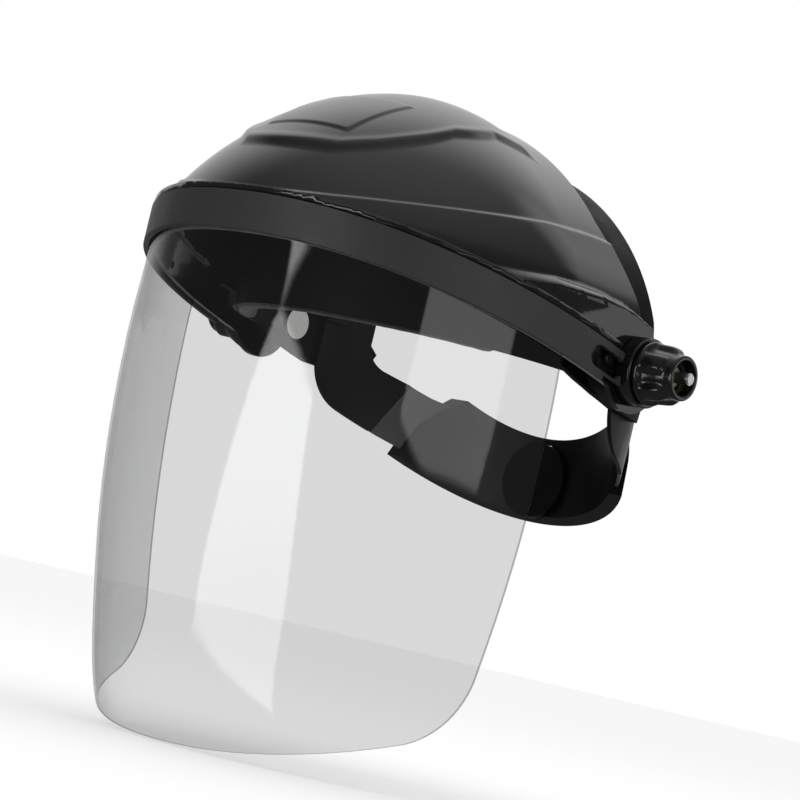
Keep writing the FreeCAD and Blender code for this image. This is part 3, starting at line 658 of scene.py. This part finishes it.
for side, sign in SIDES:
    strap = soften("adjusting_strap_" + side, STRAP_EDGE, rides=False)
    for corner in strap.data.vertices:
        if corner.co.dot(STRAP_RUN) < STRAP_SEAM:
            corner.co -= STRAP_RUN * STRAP_LAP
    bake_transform(strap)


# --------------------------------------------------------------------------------------------
# Sweatband: a thin padded cloth band, swollen a little by a cloth simulation
# --------------------------------------------------------------------------------------------
PAD_VOXEL = 0.0019
PAD_PRESSURE = 4.0
PAD_FRAMES = 18
PAD_SWELL = 0.0014
PAD_ROOM = 0.001
PAD_RELAX = 3


def make_sweatband():
    low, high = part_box("sweatband")
    shape = cad_copy("sweatband")
    mesh = bpy.data.meshes.new("sweatband_padded")
    shape.to_mesh(mesh)
    shape.free()
    piece = bpy.data.objects.new("sweatband_padded", mesh)
    bpy.context.scene.collection.objects.link(piece)
    even = piece.modifiers.new("even", "REMESH")
    even.mode = "VOXEL"
    even.voxel_size = PAD_VOXEL
    finished(piece)
    rest = np.array([corner.co for corner in piece.data.vertices])
    swell = piece.modifiers.new("swell", "CLOTH")
    swell.settings.use_pressure = True
    swell.settings.uniform_pressure_force = PAD_PRESSURE
    swell.settings.effector_weights.gravity = 0.0
    scene = bpy.context.scene
    for frame_number in range(1, PAD_FRAMES + 1):
        scene.frame_set(frame_number)
    finished(piece)
    scene.frame_set(1)
    moved = np.array([corner.co for corner in piece.data.vertices]) - rest
    length = np.maximum(np.linalg.norm(moved, axis=1, keepdims=True), 1e-9)
    moved *= np.minimum(length, PAD_SWELL) / length
    rest = rest + moved
    rest[:, 2] = np.clip(rest[:, 2], low[2] - PAD_ROOM, high[2] + PAD_ROOM)
    piece.data.vertices.foreach_set("co", rest.astype(np.float32).ravel())
    relax = piece.modifiers.new("relax", "SMOOTH")
    relax.iterations = PAD_RELAX
    finer = piece.modifiers.new("finer", "SUBSURF")
    finer.levels = 1
    finer.render_levels = 1
    finished(piece)
    smooth(piece.data, 180.0)
    dress(piece, "sweat_fabric")
    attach(piece, "headgear")
    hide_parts("sweatband")


make_sweatband()


# --------------------------------------------------------------------------------------------
# Studio: pale floor, pale surroundings, soft lights
# --------------------------------------------------------------------------------------------
def soft_light(name, place, aim, width, height, power):
    """An area light that is left out of reflections, which come from the sky's softboxes."""
    lamp = bpy.data.lights.new(name, "AREA")
    lamp.shape = "RECTANGLE"
    lamp.size = width
    lamp.size_y = height
    lamp.energy = power
    holder = bpy.data.objects.new(name, lamp)
    bpy.context.scene.collection.objects.link(holder)
    holder.location = place
    holder.rotation_euler = (Vector(aim) - Vector(place)).to_track_quat("-Z", "Y").to_euler()
    holder.visible_glossy = False


class Sky:
    """The studio's surroundings, built as a world shader over the direction looked in."""

    def __init__(self):
        world = bpy.data.worlds.new("studio")
        bpy.context.scene.world = world
        world.use_nodes = True
        self.tree = world.node_tree
        self.shader = self.tree.nodes["Background"]
        self.shader.inputs["Color"].default_value = (1, 1, 1, 1)
        coordinates = self.add("ShaderNodeTexCoord")
        parts = self.add("ShaderNodeSeparateXYZ")
        self.direction = coordinates.outputs["Generated"]
        self.join(self.direction, parts.inputs[0])
        forward = self.math("MULTIPLY", parts.outputs["Y"], -1.0)
        turn = self.math("ARCTAN2", parts.outputs["X"], forward)
        lift = self.math("ARCSINE", parts.outputs["Z"])
        self.azimuth = self.math("DEGREES", turn)
        self.elevation = self.math("DEGREES", lift)

    def add(self, kind):
        return self.tree.nodes.new(kind)

    def join(self, start, end):
        self.tree.links.new(start, end)

    def math(self, operation, first, second=None, third=None):
        made = self.add("ShaderNodeMath")
        made.operation = operation
        for socket, value in zip(made.inputs, (first, second, third)):
            if value is None:
                continue
            if isinstance(value, (int, float)):
                socket.default_value = value
            else:
                self.join(value, socket)
        return made.outputs["Value"]

    def towards(self, azimuth, elevation):
        """Cosine of the angle between the direction looked in and the one given in degrees."""
        turn, lift = math.radians(azimuth), math.radians(elevation)
        level = math.cos(lift)
        product = self.add("ShaderNodeVectorMath")
        product.operation = "DOT_PRODUCT"
        product.inputs[1].default_value = (math.sin(turn) * level, -math.cos(turn) * level, math.sin(lift))
        self.join(self.direction, product.inputs[0])
        return product.outputs["Value"]

    def ease(self, value, start, end):
        """0 at start, 1 at end, smooth between."""
        eased = self.add("ShaderNodeMapRange")
        eased.interpolation_type = "SMOOTHSTEP"
        eased.inputs["From Min"].default_value = start
        eased.inputs["From Max"].default_value = end
        self.join(value, eased.inputs["Value"])
        return eased.outputs["Result"]

    def softbox(self, corners, blur, strength):
        """A convex panel of light with corners in degrees (azimuth, elevation), counter-clockwise."""
        mask = strength
        for (a0, e0), (a1, e1) in zip(corners, corners[1:] + corners[:1]):
            length = math.hypot(a1 - a0, e1 - e0)
            across, along = -(e1 - e0) / length, (a1 - a0) / length
            side = self.math("ADD", self.math("MULTIPLY", self.azimuth, across),
                             self.math("MULTIPLY", self.elevation, along))
            start = a0 * across + e0 * along
            mask = self.math("MULTIPLY", self.ease(side, start, start + blur), mask)
        return mask


# softbox corners in degrees (azimuth, elevation), counter-clockwise
FRONT_BOX = [(-31, -19), (30, -34), (16, 1), (-12, 9.5)]
LEFT_BOX = [(57, -1), (72, -5), (99, -5), (99, 16), (57, 12)]
BESIDE_BOX = [(122, -14), (160, -14), (160, 16), (122, 16)]
BEHIND_BOX = [(148, 18), (179, 18), (179, 62), (148, 62)]
# strength of the surroundings as gloss, diffuse surfaces and the camera's background see them
GLOSS_BASE = 0.12
DIFFUSE_FILL = 0.75
BACKGROUND = 1.0


def make_sky():
    sky = Sky()
    overhead = sky.math("MULTIPLY", sky.ease(sky.elevation, 25.0, 85.0), 0.45)
    streak = sky.math("MULTIPLY_ADD", sky.ease(sky.elevation, -24.0, -6.0), 0.9, 2.3)
    front = sky.math("MULTIPLY", sky.softbox(FRONT_BOX, 2.0, 1.0), streak)
    left = sky.softbox(LEFT_BOX, 1.5, 1.3)
    beside = sky.softbox(BESIDE_BOX, 5.0, 0.8)
    lift = sky.math("MULTIPLY_ADD", sky.ease(sky.elevation, 12.0, 50.0), 0.35, 0.55)
    rear = sky.math("MULTIPLY", sky.ease(sky.towards(-138.5, 25.0), 0.50, 0.95), lift)
    boxes = sky.math("ADD", sky.math("ADD", front, left), sky.math("ADD", rear, overhead))
    behind = sky.softbox(BEHIND_BOX, 12.0, 0.45)
    sides = sky.math("ADD", beside, behind)
    strength = sky.math("ADD", sky.math("ADD", boxes, sides), GLOSS_BASE)
    path = sky.add("ShaderNodeLightPath")
    for ray, value in (("Is Diffuse Ray", DIFFUSE_FILL), ("Is Camera Ray", BACKGROUND)):
        change = sky.math("SUBTRACT", value, strength)
        strength = sky.math("ADD", strength, sky.math("MULTIPLY", path.outputs[ray], change))
    sky.join(strength, sky.shader.inputs["Strength"])


FLOOR_SIZE = 60
FLOOR_GAP = 0.0005
FLOOR_GLOW = 0.24


def make_floor():
    """A plain pale floor just under the object, left out of its reflections and bounced light."""
    bpy.ops.mesh.primitive_plane_add(size=FLOOR_SIZE, location=(0, 0, cad_box[0][2] - FLOOR_GAP))
    floor = bpy.context.object
    floor.name = "floor"
    pale = material("pale_floor", (0.9, 0.9, 0.9), 0.95, specular=0.0)
    tint(pale, noise(pale, 3.0), (0.90, 0.90, 0.90), (0.93, 0.93, 0.93))
    shader = pale.node_tree.nodes["Principled BSDF"]
    shader.inputs["Emission Color"].default_value = (1, 1, 1, 1)
    shader.inputs["Emission Strength"].default_value = FLOOR_GLOW
    floor.data.materials.append(pale)
    floor.visible_glossy = False
    floor.visible_diffuse = False


bpy.context.scene.view_settings.view_transform = "Standard"
make_sky()
make_floor()
soft_light("key_light", (0.5, -0.7, 1.5), aim=(0, -0.03, 0), width=0.9, height=0.9, power=2)
soft_light("top_light", (-0.2, 0.5, 1.6), aim=(0, 0, 0), width=1.4, height=1.0, power=2)
